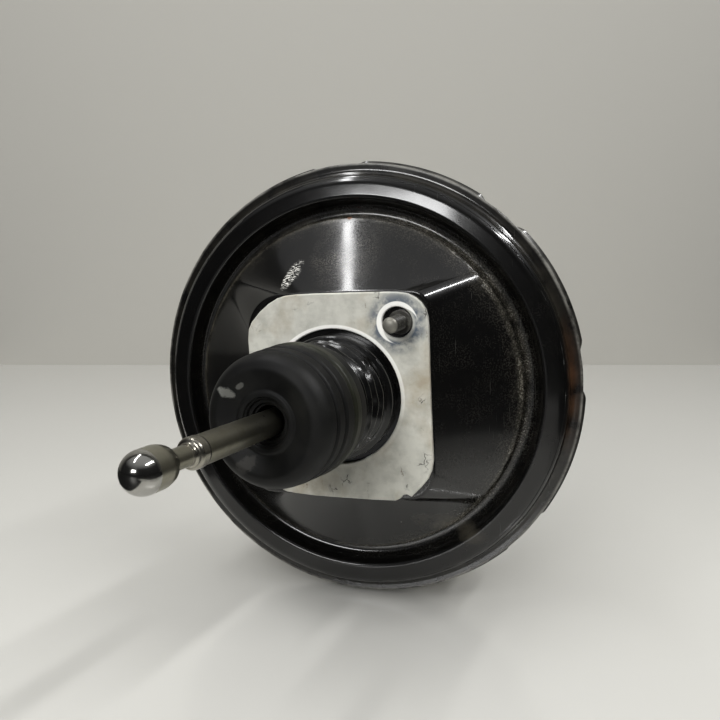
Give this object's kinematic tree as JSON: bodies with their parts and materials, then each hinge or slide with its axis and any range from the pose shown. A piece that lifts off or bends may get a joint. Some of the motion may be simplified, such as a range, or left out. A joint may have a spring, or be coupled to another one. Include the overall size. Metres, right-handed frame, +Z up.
{
  "type": "vacuum brake booster",
  "caption": "Round pressed-steel vacuum brake booster with a sloping square mounting pad, gasket, studs, rubber dust boot and ball-ended pushrod.",
  "frame": {"origin": "centre of the rear mounting face, on the gasket's outer face and the booster's axis, midway between the mounting studs", "axes": "-Y points out of the mounting face towards the pedal, +Y towards the master cylinder, +Z up, +X right when seen from the pedal"},
  "size_m": [0.255, 0.294, 0.255],
  "materials": {
    "shell_paint": "gloss black paint on pressed steel, dusty and scuffed",
    "gasket_sheet": "off-white fibre sheet, stained and creased",
    "plated_steel": "satin zinc plate",
    "bare_steel": "plain pressed or drawn steel",
    "boot_rubber": "black rubber, semi-matte",
    "inner_rubber": "black rubber",
    "moulded_hub": "dark moulded resin",
    "moulded_nylon": "black nylon",
    "filter_felt": "grey felt"
  },
  "bodies": {
    "shell": {"rear_shell": "shell_paint", "front_shell": "shell_paint", "rear_stud_plate": "bare_steel", "mounting_studs": "plated_steel", "front_stud_plate": "bare_steel", "master_cylinder_studs": "plated_steel", "gasket": "gasket_sheet", "dust_boot": "boot_rubber", "rear_seal": "inner_rubber", "seal_retainer": "moulded_nylon", "diaphragm": "inner_rubber", "return_spring": "bare_steel", "check_valve_grommet": "inner_rubber", "check_valve_body": "moulded_nylon", "check_valve_spring": "bare_steel"},
    "power_piston": {"valve_body": "moulded_hub", "diaphragm_plate": "plated_steel", "stop_key": "bare_steel", "poppet_valve": "inner_rubber", "poppet_retainer": "bare_steel", "poppet_spring": "bare_steel", "rod_spring": "bare_steel", "air_filter": "filter_felt", "silencer": "filter_felt", "reaction_disc": "inner_rubber", "output_rod": "plated_steel", "output_rod_screw": "plated_steel", "output_rod_retainer": "bare_steel"},
    "plunger": {"valve_plunger": "plated_steel"},
    "input_rod": {"pushrod": "plated_steel", "rod_spring_seat": "bare_steel"},
    "check_disc": {"check_valve_disc": "inner_rubber"}
  },
  "joints": [
    {"name": "piston_stroke", "type": "slide", "parent": "shell", "child": "power_piston", "axis": [0, 1, 0], "range_m": [0, 0.032], "stiffness_N_per_m": 3000, "springref_m": -0.04, "deforming": ["dust_boot", "diaphragm", "return_spring"]},
    {"name": "plunger_travel", "type": "slide", "parent": "power_piston", "child": "plunger", "axis": [0, 1, 0], "range_m": [0, 0.0015], "stiffness_N_per_m": 4000, "springref_m": -0.005, "deforming": ["rod_spring"]},
    {"name": "rod_swing", "type": "hinge", "parent": "plunger", "child": "input_rod", "pos_m": [0, -0.009, 0], "axis": [0.1736, 0, 0.9848], "range_deg": [-0.6, 11.4], "deforming": ["rod_spring", "dust_boot"]},
    {"name": "check_disc_lift", "type": "slide", "parent": "shell", "child": "check_disc", "axis": [0, 1, 0], "range_m": [0, 0.0015], "stiffness_N_per_m": 20, "springref_m": -0.001, "deforming": ["check_valve_spring"]}
  ]
}
